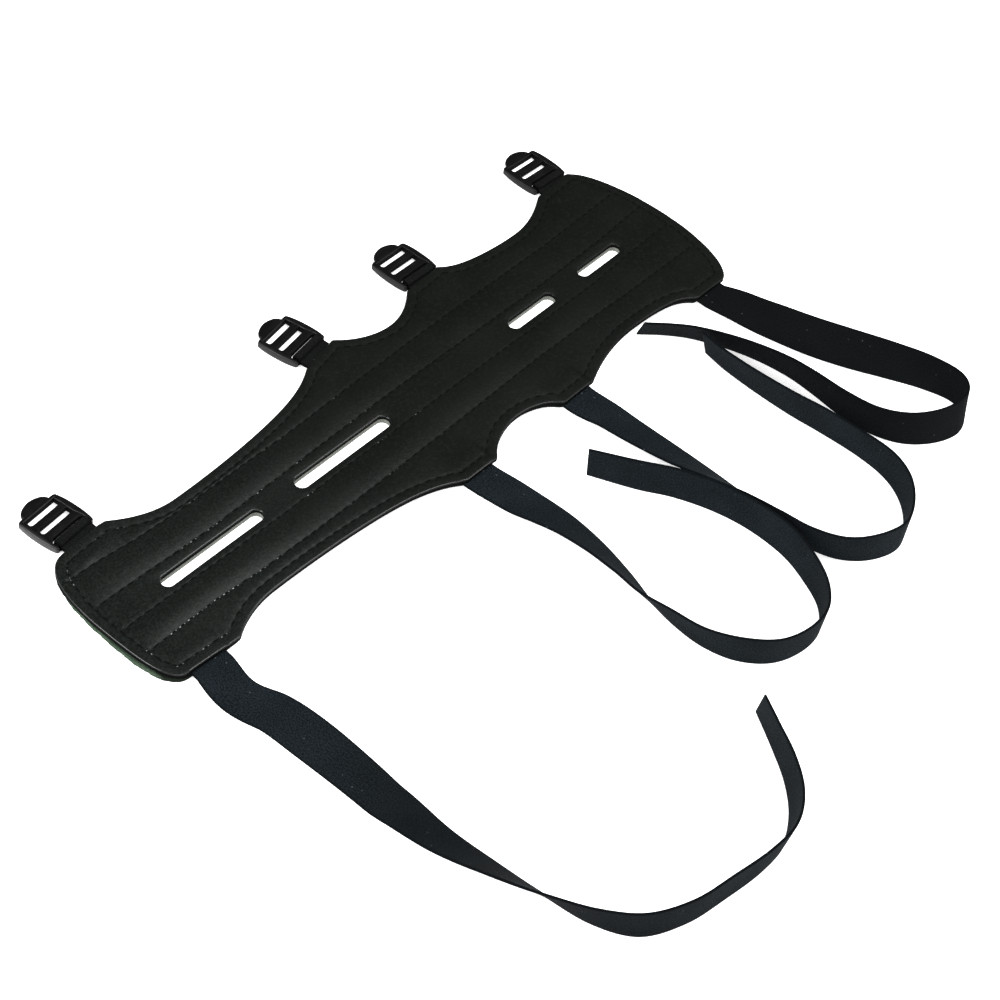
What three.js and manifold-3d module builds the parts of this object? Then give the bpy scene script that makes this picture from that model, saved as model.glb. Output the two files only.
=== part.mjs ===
import * as THREE from 'three';
import { mergeVertices } from 'three/addons/utils/BufferGeometryUtils.js';
import Module from 'manifold-3d';

// Archery arm guard lying face up: a leather face on a backing, with four elastic straps along one
// long side and four ladder-lock buckles along the other. Millimetres, +Z up. +X runs along the
// forearm from the narrow end to the wide end, +Y points to the buckles, and the underside lies on
// z = 0 with the origin in its middle.

const wasm = await Module();
wasm.setup();

// Layers
const layerGap = 0.3;
const backingThickness = 1.7;
const faceThickness = 1.6;
const faceBottom = backingThickness + layerGap;
const faceTop = faceBottom + faceThickness;
const edgeBevel = 0.4;

// Elastic webbing
const webWidth = 15;
const webThickness = 0.9;
const tongueDepth = 8;
const tongueBottom = 1.35;
const pocketBottom = tongueBottom - layerGap;
const pocketTop = tongueBottom + webThickness + layerGap;

// The outline of each long side. A lobe is a short straight edge between two corners, and a bay is
// the hollow between two lobes. From its waist to each corner a bay rises by a gentle sweep, whose
// share of the rise is given, and by a flare close to the corner. Reach is the distance from the long
// axis. The ends are quarters of a superellipse with the given power.
const lobeColumns = ['near', 'nearReach', 'far', 'farReach'];
const bayColumns = ['waist', 'reach', 'nearSweep', 'farSweep'];
const endColumns = ['nearPower', 'farPower'];
const buckleSide = {
  sign: 1,
  lobes: table(lobeColumns, [
    [-137, 32, -117.5, 33.2],
    [-15.5, 36.6, 2.5, 40.4],
    [42, 39.3, 60.5, 40.4],
    [120.5, 40.4, 138.5, 41.6],
  ]),
  bays: table(bayColumns, [
    [-93.5, 24.2, 1, 0.62],
    [23.5, 31.3, 0.93, 1],
    [96.5, 32.6, 0.67, 1],
  ]),
  ends: table(endColumns, [[2.3, 1.9]])[0],
};
const strapSide = {
  sign: -1,
  lobes: table(lobeColumns, [
    [-140, 32.3, -119.6, 33.5],
    [-13.6, 39.5, 3, 39.6],
    [41.2, 39, 58.4, 38.8],
    [122.4, 38.6, 137.6, 38.8],
  ]),
  bays: table(bayColumns, [
    [-97, 26.9, 0.92, 0.55],
    [23.2, 31.1, 0.88, 0.72],
    [91, 31.2, 1, 0.48],
  ]),
  ends: table(endColumns, [[3, 2]])[0],
};
const sweepPower = 2;
const flarePower = 8;
const bayHalfSteps = 7;
const endSteps = 7;

// The ends of the two layers. The backing peeps out at the near end and is cut back along the sides.
const faceEnds = { near: -150, far: 151.5 };
const backingEnds = { near: -151, far: 150.8 };
const backingTrim = { depth: 1, from: -142, to: -112 };

// Slots along the axis
const slotArcSteps = 5;
const slots = table(['near', 'far', 'middle', 'width'], [
  [-122.6, -76, -0.1, 5],
  [-58.6, -11.6, 0, 5.4],
  [57, 82.2, 0.5, 5.2],
  [98.8, 122.6, 1, 4.8],
]);

// Padded channels, each between an inner and an outer seam, one row for each section
const padSink = 0.5;
const padArcSteps = 8;
const padDomePower = 0.8;
const padColumns = ['x', 'inner', 'outer', 'height'];
const pads = [
  {
    sign: 1,
    sections: table(padColumns, [
      [-146, 8.2, 21.2, 0.1],
      [-142, 7.5, 22, 0.6],
      [-132, 7.4, 21.6, 0.9],
      [-116, 6.8, 20, 0.9],
      [-96, 6.3, 19.3, 0.85],
      [-40, 7.3, 19.1, 0.6],
      [-10, 7.8, 19.9, 0.5],
      [30, 7.6, 20.7, 0.4],
      [70, 7.2, 20.6, 0.35],
      [100, 7.5, 20.5, 0.3],
      [120, 8.1, 21, 0.3],
      [140, 9.2, 21.8, 0.25],
      [146, 9.8, 21.2, 0.1],
    ]),
  },
  {
    sign: -1,
    sections: table(padColumns, [
      [-146, 5.9, 16.6, 0.1],
      [-142, 5.2, 17.2, 0.6],
      [-132, 5.2, 17, 0.9],
      [-114, 5.3, 16.9, 0.9],
      [-94, 5.9, 18.3, 0.9],
      [-70, 6, 18.8, 0.75],
      [-40, 5.8, 18.8, 0.6],
      [0, 5.7, 18.4, 0.5],
      [50, 5.8, 17.4, 0.4],
      [85, 6, 17.6, 0.35],
      [100, 5.9, 18.1, 0.3],
      [120, 4.7, 18.4, 0.3],
      [140, 4.2, 18.7, 0.25],
      [146, 4.9, 18, 0.1],
    ]),
  },
];

// Buckles: the middle of each loop's exit on the lobe's edge, the turn of the buckle in degrees, and
// the length of loop between the edge and the buckle
const buckles = table(['x', 'y', 'turn', 'slack'], [
  [-127.9, 32.6, 5.7, 2.2],
  [-6.3, 38.6, 9, 3.1],
  [52.2, 39.9, 0, 0.4],
  [131.8, 41.2, -1.8, 1.2],
]);

// Ladder-lock buckle, in its own frame: u across, v outwards from the lobe's edge
const buckle = {
  bottom: 0.2,
  top: 3.3,
  start: 0.8,
  frameEnd: 18.3,
  tabEnd: 22.2,
  tabHalfWidth: 6.4,
  tabBottom: 1.4,
  tabTop: 3.1,
  loopHalfLength: 7.8,
  endHalfWidth: 9.2,
  bulge: 0.6,
  cornerRadius: 1,
  barBottom: 1.15,
  barTop: 3.1,
};
const buckleArcSteps = 7;
const innerBar = { from: 1.5, to: 2.9 };
const buckleSlots = table(['from', 'to', 'halfLength'], [
  [0, innerBar.from, buckle.loopHalfLength],
  [innerBar.to, 5, buckle.loopHalfLength],
  [8.5, 11, 7.2],
  [13.9, 17, 7],
]);
const loopWall = 0.75;
const loopGap = 0.25;
const loopArcSteps = 18;

// Straps. Each rests on one long edge, whose route is given on the floor, and rises from it to the
// other side: lean is the angle in degrees between the strap and the floor. The side is -1 where the
// strap lies to the right of the edge along its route and 1 where it lies to the left. The slant is
// how much longer the raised edge is at the cut end.
const strapSteps = 56;
const dropLength = 24;
const slantLength = 14;
const strapColumns = ['x', 'y', 'lean'];
const straps = [
  {
    side: -1,
    exit: -33,
    slant: -4,
    route: table(strapColumns, [
      [-126.2, -25, 0],
      [-126.2, -36, 0],
      [-128.2, -48, -2],
      [-125.6, -61, -12],
      [-125.7, -77, -24],
      [-124, -95, -9],
      [-123.8, -113, 4],
      [-124.8, -131, 22],
      [-123.6, -149, 39],
      [-122, -166, 56],
      [-119.4, -183, 75],
      [-112.3, -196.3, 86],
      [-98.4, -203.7, 87],
      [-82.8, -207, 87],
      [-67, -209.2, 85],
      [-54, -208.6, 83],
      [-43, -203.4, 84],
      [-33.4, -194.6, 89],
      [-25, -183, 94],
      [-17.1, -170.8, 96],
    ]),
  },
  {
    side: -1,
    exit: -39.8,
    slant: 1,
    route: table(strapColumns, [
      [0.2, -31, 0],
      [0.4, -42, 0],
      [2.4, -54, 1],
      [3.5, -66, 11],
      [3.4, -78, 21],
      [1.4, -92, 32],
      [-2.2, -106, 43],
      [-6.2, -118, 53],
      [-8.5, -130, 67],
      [-8.6, -142, 74],
      [-5, -153.4, 82],
      [3, -162.4, 84],
      [14, -166.6, 86],
      [25, -166.2, 88],
      [34.4, -160, 90],
      [40.6, -149, 88],
      [44.6, -137, 87],
      [45.4, -122, 89],
      [43, -107.6, 90],
      [37.6, -93.4, 90],
      [30.6, -81.4, 91],
      [22.9, -64.9, 97],
    ]),
  },
  {
    side: -1,
    exit: -39,
    slant: 0,
    route: table(strapColumns, [
      [56, -31, 0],
      [56, -42, 0],
      [57.3, -54, 8],
      [57.6, -69, 15],
      [57.8, -85, 24],
      [57.6, -100, 38],
      [56.8, -114, 52],
      [55, -129, 66],
      [54.2, -141, 75],
      [58, -152, 80],
      [66.3, -160.1, 87],
      [77.5, -163.8, 90],
      [88.3, -159.8, 90],
      [97, -152.2, 90],
      [102.4, -142, 93],
      [104.2, -129, 98],
      [103.6, -113, 99],
      [102.3, -98, 102],
      [102.1, -82, 106],
      [102.8, -68, 109],
      [104.6, -57, 111],
    ]),
  },
  {
    side: 1,
    exit: -39.4,
    slant: 0,
    route: table(strapColumns, [
      [122.8, -31, 0],
      [122.8, -42, 0],
      [125.4, -54, 12],
      [128.2, -68, 25],
      [132.4, -84, 38],
      [138.2, -98.6, 52],
      [145, -112, 66],
      [151.2, -125, 77],
      [154.4, -137, 88],
      [150.6, -144.8, 97],
      [141.6, -147.8, 105],
      [131, -144.2, 103],
      [122, -136.2, 96],
      [117.2, -125, 87],
      [116.2, -112, 82],
      [117.6, -98, 76],
      [118, -86, 71],
      [116, -72.4, 66],
      [112, -60, 63],
      [106.4, -48.4, 61],
      [100, -40, 60],
      [92.6, -32.6, 60],
    ]),
  },
];

// Finishes
const leather = new THREE.MeshStandardMaterial({ color: 0x16171a, roughness: 0.5, metalness: 0 });
const lining = new THREE.MeshStandardMaterial({ color: 0x2a2d2a, roughness: 0.9, metalness: 0 });
const elastic = new THREE.MeshStandardMaterial({ color: 0x1b2026, roughness: 0.9, metalness: 0 });
const plastic = new THREE.MeshStandardMaterial({ color: 0x121314, roughness: 0.42, metalness: 0 });

// Rows of numbers as objects with named columns.
function table(columns, rows) {
  return rows.map((row) => Object.fromEntries(columns.map((name, k) => [name, row[k]])));
}

function toSolid(geometry) {
  const bare = geometry.clone();
  bare.deleteAttribute('normal');
  bare.deleteAttribute('uv');
  const merged = mergeVertices(bare, 1e-4);
  const vertProperties = new Float32Array(merged.attributes.position.array);
  const triVerts = new Uint32Array(merged.index.array);
  return new wasm.Manifold(new wasm.Mesh({ numProp: 3, vertProperties, triVerts }));
}

function toGeometry(solid) {
  const { vertProperties, triVerts, numProp } = solid.getMesh();
  const position = new THREE.InterleavedBuffer(vertProperties, numProp);
  const geometry = new THREE.BufferGeometry();
  geometry.setAttribute('position', new THREE.InterleavedBufferAttribute(position, 3, 0));
  geometry.setIndex(new THREE.BufferAttribute(triVerts, 1));
  return geometry;
}

function cutBox(solid, box, place = new THREE.Matrix4()) {
  const size = new THREE.Vector3();
  const centre = new THREE.Vector3();
  box.getSize(size);
  box.getCenter(centre);
  const geometry = new THREE.BoxGeometry(size.x, size.y, size.z);
  geometry.translate(centre.x, centre.y, centre.z);
  geometry.applyMatrix4(place);
  return solid.subtract(toSolid(geometry));
}

function makeBox(x0, y0, z0, x1, y1, z1) {
  return new THREE.Box3(new THREE.Vector3(x0, y0, z0), new THREE.Vector3(x1, y1, z1));
}

// A closed skin over rings of equally many points, with a fan over the first and the last ring.
function loft(rings, turnedOver = false) {
  const count = rings[0].length;
  const points = rings.flat();
  const faces = [];
  for (let i = 0; i + 1 < rings.length; i += 1) {
    for (let j = 0; j < count; j += 1) {
      const a = i * count + j;
      const b = i * count + ((j + 1) % count);
      faces.push([a, b, b + count], [a, b + count, a + count]);
    }
  }
  const last = (rings.length - 1) * count;
  for (let j = 1; j + 1 < count; j += 1) {
    faces.push([0, j + 1, j], [last, last + j, last + j + 1]);
  }
  const geometry = new THREE.BufferGeometry().setFromPoints(points);
  geometry.setIndex(faces.flatMap(([a, b, c]) => (turnedOver ? [a, c, b] : [a, b, c])));
  return geometry;
}

// Points of one long side from the near end's axis to the far end's axis, as [x, reach].
function sideOutline({ lobes, bays, ends }, { near, far }) {
  const points = [];
  const quarter = (lobe, reach, end, power, k) => {
    const angle = (k / endSteps) * (Math.PI / 2);
    const along = Math.cos(angle) ** (2 / power);
    const across = Math.sin(angle) ** (2 / power);
    points.push([lobe + (end - lobe) * along, reach * across]);
  };
  const first = lobes[0];
  const last = lobes[lobes.length - 1];
  for (let k = 1; k <= endSteps; k += 1) {
    quarter(first.near, first.nearReach, near, ends.nearPower, k);
  }
  lobes.forEach((lobe, i) => {
    if (i > 0) {
      points.push([lobe.near, lobe.nearReach]);
    }
    points.push([lobe.far, lobe.farReach]);
    const bay = bays[i];
    if (!bay) {
      return;
    }
    const next = lobes[i + 1];
    for (let k = 1; k < 2 * bayHalfSteps; k += 1) {
      const rising = k > bayHalfSteps;
      const corner = rising ? next.near : lobe.far;
      const cornerReach = rising ? next.nearReach : lobe.farReach;
      const sweep = rising ? bay.farSweep : bay.nearSweep;
      const t = Math.sin((Math.abs(k - bayHalfSteps) / bayHalfSteps) * (Math.PI / 2));
      const rise = sweep * t ** sweepPower + (1 - sweep) * t ** flarePower;
      points.push([bay.waist + (corner - bay.waist) * t, bay.reach + (cornerReach - bay.reach) * rise]);
    }
  });
  for (let k = endSteps - 1; k >= 1; k -= 1) {
    quarter(last.far, last.farReach, far, ends.farPower, k);
  }
  return points;
}

function slotHole({ near, far, middle, width }) {
  const radius = width / 2;
  const hole = new THREE.Path();
  hole.absarc(far - radius, middle, radius, -Math.PI / 2, Math.PI / 2);
  hole.absarc(near + radius, middle, radius, Math.PI / 2, (3 * Math.PI) / 2);
  hole.closePath();
  return hole;
}

function guardShape(guardEnds, trim) {
  const edge = (side) => sideOutline(side, guardEnds).map(([x, reach]) => {
    const cut = trim.depth * THREE.MathUtils.smoothstep(x, trim.from, trim.to);
    return new THREE.Vector2(x, side.sign * (reach - cut));
  });
  const buckleEdge = edge(buckleSide);
  const strapEdge = edge(strapSide);
  const nearMiddle = new THREE.Vector2(guardEnds.near, 0);
  const farMiddle = new THREE.Vector2(guardEnds.far, 0);
  const shape = new THREE.Shape([nearMiddle, ...strapEdge, farMiddle, ...buckleEdge.reverse()]);
  shape.holes = slots.map(slotHole);
  return shape;
}

// A padded channel: a dome between its two seams, carried along the rows of its sections.
function padGeometry({ sign, sections }) {
  const rings = sections.map(({ x, inner, outer, height }) => {
    const middle = (sign * (inner + outer)) / 2;
    const half = (outer - inner) / 2;
    const dome = [];
    for (let j = 0; j <= padArcSteps; j += 1) {
      const angle = (j / padArcSteps) * Math.PI;
      const rise = height * Math.sin(angle) ** padDomePower;
      dome.push(new THREE.Vector3(x, middle + half * Math.cos(angle), faceTop + rise));
    }
    dome.push(new THREE.Vector3(x, middle - half, faceTop - padSink));
    dome.push(new THREE.Vector3(x, middle + half, faceTop - padSink));
    return dome;
  });
  return loft(rings);
}

function bucklePlace({ x, y, turn }) {
  const place = new THREE.Matrix4().makeRotationZ(THREE.MathUtils.degToRad(turn));
  return place.setPosition(x, y, 0);
}

// The pockets between the layers that hold the inner ends of the straps and of the buckle loops.
function cutPockets(solid) {
  let cut = solid;
  const half = webWidth / 2 + layerGap;
  const loopPocket = makeBox(-half, -tongueDepth - layerGap, pocketBottom, half, tongueDepth, pocketTop);
  buckles.forEach((row) => {
    cut = cutBox(cut, loopPocket, bucklePlace(row));
  });
  straps.forEach(({ side, route }) => {
    const edge = route[0].x;
    const low = Math.min(edge, edge + side * webWidth) - layerGap;
    const high = Math.max(edge, edge + side * webWidth) + layerGap;
    const outside = route[1].y - tongueDepth;
    const inside = route[0].y + layerGap;
    cut = cutBox(cut, makeBox(low, outside, pocketBottom, high, inside, pocketTop));
  });
  return cut;
}

function faceGeometry(shape) {
  const plate = new THREE.ExtrudeGeometry(shape, {
    depth: faceThickness - 2 * edgeBevel,
    bevelEnabled: true,
    bevelThickness: edgeBevel,
    bevelSize: edgeBevel,
    bevelOffset: -edgeBevel,
    bevelSegments: 1,
    curveSegments: slotArcSteps,
  });
  plate.translate(0, 0, faceBottom + edgeBevel);
  let solid = toSolid(plate);
  pads.forEach((pad) => {
    solid = solid.add(toSolid(padGeometry(pad)));
  });
  return toGeometry(cutPockets(solid));
}

function backingGeometry(shape) {
  const sheet = new THREE.ExtrudeGeometry(shape, {
    depth: backingThickness,
    bevelEnabled: false,
    curveSegments: slotArcSteps,
  });
  return toGeometry(cutPockets(toSolid(sheet)));
}

// The buckle's outline: bulging side rails, round corners and a half-round thumb tab.
function buckleShape() {
  const { start, frameEnd, tabEnd, tabHalfWidth, endHalfWidth, bulge, cornerRadius } = buckle;
  const middle = (start + frameEnd) / 2;
  const railControl = endHalfWidth + 2 * bulge;
  const shape = new THREE.Shape();
  shape.moveTo(-endHalfWidth + cornerRadius, start);
  shape.lineTo(endHalfWidth - cornerRadius, start);
  shape.quadraticCurveTo(endHalfWidth, start, endHalfWidth, start + cornerRadius);
  shape.quadraticCurveTo(railControl, middle, endHalfWidth, frameEnd - cornerRadius);
  shape.quadraticCurveTo(endHalfWidth, frameEnd, endHalfWidth - cornerRadius, frameEnd);
  shape.lineTo(tabHalfWidth, frameEnd);
  shape.absellipse(0, frameEnd, tabHalfWidth, tabEnd - frameEnd, 0, Math.PI, false, 0);
  shape.lineTo(-endHalfWidth + cornerRadius, frameEnd);
  shape.quadraticCurveTo(-endHalfWidth, frameEnd, -endHalfWidth, frameEnd - cornerRadius);
  shape.quadraticCurveTo(-railControl, middle, -endHalfWidth, start + cornerRadius);
  shape.quadraticCurveTo(-endHalfWidth, start, -endHalfWidth + cornerRadius, start);
  return shape;
}

function buckleGeometry() {
  const { bottom, top, start, frameEnd, tabEnd, tabBottom, tabTop, loopHalfLength, barBottom, barTop } = buckle;
  const body = new THREE.ExtrudeGeometry(buckleShape(), {
    depth: top - bottom,
    bevelEnabled: false,
    curveSegments: buckleArcSteps,
  });
  body.translate(0, 0, bottom);
  let solid = toSolid(body);
  buckleSlots.forEach(({ from, to, halfLength }) => {
    solid = cutBox(solid, makeBox(-halfLength, from, 0, halfLength, to, 2 * top));
  });
  const barSpan = [start - 1, buckleSlots[buckleSlots.length - 1].to];
  solid = cutBox(solid, makeBox(-loopHalfLength, barSpan[0], barTop, loopHalfLength, barSpan[1], 2 * top));
  solid = cutBox(solid, makeBox(-loopHalfLength, barSpan[0], -1, loopHalfLength, barSpan[1], barBottom));
  solid = cutBox(solid, makeBox(-loopHalfLength, frameEnd, tabTop, loopHalfLength, 2 * tabEnd, 2 * top));
  solid = cutBox(solid, makeBox(-loopHalfLength, frameEnd, -1, loopHalfLength, 2 * tabEnd, tabBottom));
  return toGeometry(solid);
}

// The elastic loop: a flat tongue that opens into a ring round the buckle's inner bar.
function loopGeometry(slack) {
  const bar = {
    v: slack + (innerBar.from + innerBar.to) / 2,
    z: (buckle.barBottom + buckle.barTop) / 2,
    halfV: (innerBar.to - innerBar.from) / 2,
    halfZ: (buckle.barTop - buckle.barBottom) / 2,
  };
  const roundness = 5;
  const ring = (grow, angle) => {
    const c = Math.cos(angle);
    const s = Math.sin(angle);
    const scale = (Math.abs(c) ** roundness + Math.abs(s) ** roundness) ** (-1 / roundness);
    return new THREE.Vector2(bar.v + (bar.halfV + grow) * c * scale, bar.z + (bar.halfZ + grow) * s * scale);
  };
  const around = (grow, from, to) => Array.from({ length: loopArcSteps + 1 }, (_, k) => (
    ring(grow, from + ((to - from) * k) / loopArcSteps)
  ));
  const neckAngle = 0.3;
  const outer = around(loopGap + loopWall, -Math.PI + neckAngle, Math.PI - neckAngle);
  const tongueTop = tongueBottom + webThickness;
  const profile = new THREE.Shape([
    new THREE.Vector2(-tongueDepth, tongueBottom),
    new THREE.Vector2(slack, tongueBottom),
    ...outer,
    new THREE.Vector2(slack, tongueTop),
    new THREE.Vector2(-tongueDepth, tongueTop),
  ]);
  profile.holes = [new THREE.Path(around(loopGap, -Math.PI, Math.PI).slice(1))];
  const geometry = new THREE.ExtrudeGeometry(profile, { depth: webWidth, bevelEnabled: false });
  const uvzFromProfile = new THREE.Matrix4().set(
    0, 0, 1, -webWidth / 2,
    1, 0, 0, 0,
    0, 1, 0, 0,
    0, 0, 0, 1,
  );
  return geometry.applyMatrix4(uvzFromProfile);
}

// A strap: a flat section that turns about the edge it rests on, carried along its route.
function strapGeometry({ side, exit, slant, route }) {
  const rows = route.map(({ x, y, lean }) => new THREE.Vector3(x, y, lean));
  const stations = new THREE.CatmullRomCurve3(rows, false, 'catmullrom', 0.5).getPoints(strapSteps);
  const lengths = [0];
  for (let i = 1; i <= strapSteps; i += 1) {
    const step = Math.hypot(stations[i].x - stations[i - 1].x, stations[i].y - stations[i - 1].y);
    lengths.push(lengths[i - 1] + step);
  }
  const total = lengths[strapSteps];
  const rings = stations.map((station, i) => {
    const before = stations[Math.max(i - 1, 0)];
    const after = stations[Math.min(i + 1, strapSteps)];
    const along = new THREE.Vector3(after.x - before.x, after.y - before.y, 0).normalize();
    const across = new THREE.Vector3(-along.y * side, along.x * side, 0);
    const lean = THREE.MathUtils.degToRad(station.z);
    const up = new THREE.Vector3(0, 0, 1);
    const web = across.clone().multiplyScalar(Math.cos(lean)).addScaledVector(up, Math.sin(lean));
    const thick = across.clone().multiplyScalar(-Math.sin(lean)).addScaledVector(up, Math.cos(lean));
    const lowest = Math.min(0, webWidth * web.z, webThickness * thick.z);
    const dropped = THREE.MathUtils.smoothstep(exit - station.y, 0, dropLength);
    const lift = i < strapSteps / 2 ? tongueBottom * (1 - dropped) : 0;
    const edge = new THREE.Vector3(station.x, station.y, lift - lowest);
    edge.addScaledVector(thick, -webThickness / 2).setZ(lift - lowest);
    const cut = slant * THREE.MathUtils.smoothstep(lengths[i], total - slantLength, total);
    const raised = edge.clone().addScaledVector(web, webWidth).addScaledVector(along, cut);
    return [
      edge,
      raised,
      raised.clone().addScaledVector(thick, webThickness),
      edge.clone().addScaledVector(thick, webThickness),
    ];
  });
  return loft(rings, side < 0);
}

function addPiece(group, name, geometry, material) {
  const mesh = new THREE.Mesh(geometry, material);
  mesh.name = name;
  group.add(mesh);
}

const armGuard = new THREE.Group();
const faceShape = guardShape(faceEnds, { ...backingTrim, depth: 0 });
const backingShape = guardShape(backingEnds, backingTrim);
addPiece(armGuard, 'face_panel', faceGeometry(faceShape), leather);
addPiece(armGuard, 'backing', backingGeometry(backingShape), lining);
straps.forEach((strap, i) => {
  addPiece(armGuard, `strap_${i + 1}`, strapGeometry(strap), elastic);
});
buckles.forEach((row, i) => {
  const corner = new THREE.Group();
  corner.applyMatrix4(bucklePlace(row));
  addPiece(corner, `buckle_${i + 1}`, buckleGeometry().translate(0, row.slack, 0), plastic);
  addPiece(corner, `buckle_loop_${i + 1}`, loopGeometry(row.slack), elastic);
  armGuard.add(corner);
});

export default armGuard;
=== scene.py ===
"""Looks of an archery arm guard lying face up: stitched leather face, felt backing, elastic straps and
moulded ladder-lock buckles. Shapes are worked out in millimetres, in the frame of the CAD part, and
put into the meshes in metres."""

import math

import bmesh
import bpy
import numpy as np
from mathutils import Matrix, Vector


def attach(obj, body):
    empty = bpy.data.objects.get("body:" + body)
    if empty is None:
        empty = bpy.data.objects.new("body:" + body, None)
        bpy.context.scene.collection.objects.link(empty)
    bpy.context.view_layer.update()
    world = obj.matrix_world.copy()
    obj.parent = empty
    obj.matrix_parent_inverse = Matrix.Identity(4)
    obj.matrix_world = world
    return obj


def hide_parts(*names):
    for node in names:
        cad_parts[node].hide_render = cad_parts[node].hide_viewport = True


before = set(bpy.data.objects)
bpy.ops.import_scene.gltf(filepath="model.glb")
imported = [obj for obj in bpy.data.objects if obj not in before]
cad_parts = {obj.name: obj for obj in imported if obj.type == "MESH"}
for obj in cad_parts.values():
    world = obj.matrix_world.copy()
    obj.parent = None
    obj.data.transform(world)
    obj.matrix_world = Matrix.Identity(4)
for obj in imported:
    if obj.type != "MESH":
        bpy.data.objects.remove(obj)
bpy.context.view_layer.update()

MM = 0.001
MERGE_DISTANCE = 0.002
SHARP_ANGLE = 50

# Layers
BACKING_TOP = 1.7
FACE_BOTTOM = 2.0
FACE_TOP = 3.6
FACE_ENDS = (-150.0, 151.5)
BACKING_ENDS = (-151.0, 150.8)
BACKING_TRIM = 1.0
BACKING_TRIM_SPAN = (-142.0, -112.0)
TONGUE_LIFT = 0.35
TONGUE_SINK = 0.45

# Long sides. A lobe is (near corner, its reach, far corner, its reach) and a bay is (waist, reach at
# the waist, share of the gentle sweep on the near side, share on the far side). Reach is the distance
# from the long axis. Powers are those of the superellipses at the near and far ends.
BUCKLE_SIDE = {
    "sign": 1,
    "lobes": [
        (-137, 32, -117.5, 33.2),
        (-15.5, 36.6, 2.5, 40.4),
        (42, 39.3, 60.5, 40.4),
        (120.5, 40.4, 138.5, 41.6),
    ],
    "bays": [(-93.5, 24.2, 1, 0.62), (23.5, 31.3, 0.93, 1), (96.5, 32.6, 0.67, 1)],
    "powers": (2.3, 1.9),
}
STRAP_SIDE = {
    "sign": -1,
    "lobes": [
        (-140, 32.3, -119.6, 33.5),
        (-13.6, 39.5, 3, 39.6),
        (41.2, 39, 58.4, 38.8),
        (122.4, 38.6, 137.6, 38.8),
    ],
    "bays": [(-97, 26.9, 0.92, 0.55), (23.2, 31.1, 0.88, 0.72), (91, 31.2, 1, 0.48)],
    "powers": (3, 2),
}
SIDES = (BUCKLE_SIDE, STRAP_SIDE)
CORNER_SOFTNESS = 0.8

# Stations along the guard: where its blunt ends begin, how they close up there, and the least step
BLUNT_FROM = (-137.0, 138.0)
BLUNT_POWER = 0.85
LEAST_STEP = 0.0015

# Slots along the axis: near end, far end, middle, width
SLOTS = [
    (-122.6, -76, -0.1, 5),
    (-58.6, -11.6, 0, 5.4),
    (57, 82.2, 0.5, 5.2),
    (98.8, 122.6, 1, 4.8),
]

# Padded channels: x, inner seam, outer seam, crown
BUCKLE_PAD = [
    (-146, 7.5, 22.2, 0.1),
    (-142, 7.5, 22, 0.6),
    (-132, 7.4, 21.6, 0.9),
    (-116, 6.8, 20, 0.9),
    (-96, 6.3, 19.3, 0.85),
    (-40, 7.3, 19.1, 0.6),
    (-10, 7.8, 19.9, 0.5),
    (30, 7.6, 20.7, 0.4),
    (70, 7.2, 20.6, 0.35),
    (100, 7.5, 20.5, 0.3),
    (120, 8.1, 21, 0.3),
    (140, 9.2, 21.8, 0.25),
    (146, 9.4, 22, 0.1),
]
STRAP_PAD = [
    (-146, 5.2, 17.3, 0.1),
    (-142, 5.2, 17.2, 0.6),
    (-132, 5.2, 17, 0.9),
    (-114, 5.3, 16.9, 0.9),
    (-94, 5.9, 18.3, 0.9),
    (-70, 6, 18.8, 0.75),
    (-40, 5.8, 18.8, 0.6),
    (0, 5.7, 18.4, 0.5),
    (50, 5.8, 17.4, 0.4),
    (85, 6, 17.6, 0.35),
    (100, 5.9, 18.1, 0.3),
    (120, 4.7, 18.4, 0.3),
    (140, 4.2, 18.7, 0.25),
    (146, 4.2, 18.8, 0.1),
]

# Seams of the leather, and where they are shallower towards the far end
SEAM_INSET = 4.0
SEAM_SPAN = (-146.0, 147.0)
SEAM_DEPTH = 0.16
SEAM_HALF_WIDTH = 0.55
PUCKER_DEPTH = 0.15
PUCKER_HALF_WIDTH = 0.9
SHALLOW_SPAN = (-110.0, 50.0)
SHALLOW_SHARE = 0.65
STITCH_PITCH = 4.0
STITCH_LENGTH = 2.9
STITCH_RADIUS = 0.27
STITCH_SINK = 0.12
STITCH_RISE = 0.2
STITCH_LEAN = 0.05
STITCH_SEED = 11

# Painted glints on the threads: the stretch of one seam where they are most common, and where there are
# fewer
GLINT_SEAM = (-119.0, -17.0)
GLINT_LENGTH = 22.0
GLINT_SHARE = 0.8
FAR_FEWER_GLINTS_SPAN = (-40.0, 60.0)
FAR_FEWER_GLINTS_SHARE = 0.5
EDGE_FEWER_GLINTS_SPAN = (-125.0, -90.0)
EDGE_FEWER_GLINTS_SHARE = 0.35

# Relief of the leather
DOME_POWER = 1.4
PANEL_SWELL = 0.22
SWELL_LENGTH = 3.0
BORDER_RISE = 0.06
BORDER_HALF_WIDTH = 1.2
LONG_WAVE = 0.1
SHORT_WAVE = 0.05
WAVE_FADE = 8.0
EDGE_ROUNDING = 0.55
SLOT_ROUNDING = 0.55
SLOT_DIP = 0.3
SLOT_DIP_WIDTH = 1.6

# Felt of the backing
FELT_EDGE_DROP = 0.35
FELT_EDGE_WIDTH = 0.5
FELT_CUT_BACK = 1.1
FELT_CUT_SPAN = (-28.0, 16.0)
FELT_RAGGED_SPAN = (1.0, 14.0)
FELT_WALL_SPAN = (0.2, 0.6)

# Webbing
WEB_WIDTH = 15.0
WEB_THICKNESS = 0.9
TONGUE_DEPTH = 8.0
TONGUE_BOTTOM = 1.35
DROP_LENGTH = 24.0
SLANT_LENGTH = 14.0
RIB_PITCH = 0.95
COURSE_PITCH = 0.8
# Places along a strap where its painted shade takes its start, middle and end values
SHADE_PLACES = (30.0, 95.0, 150.0, 210.0)
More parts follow.
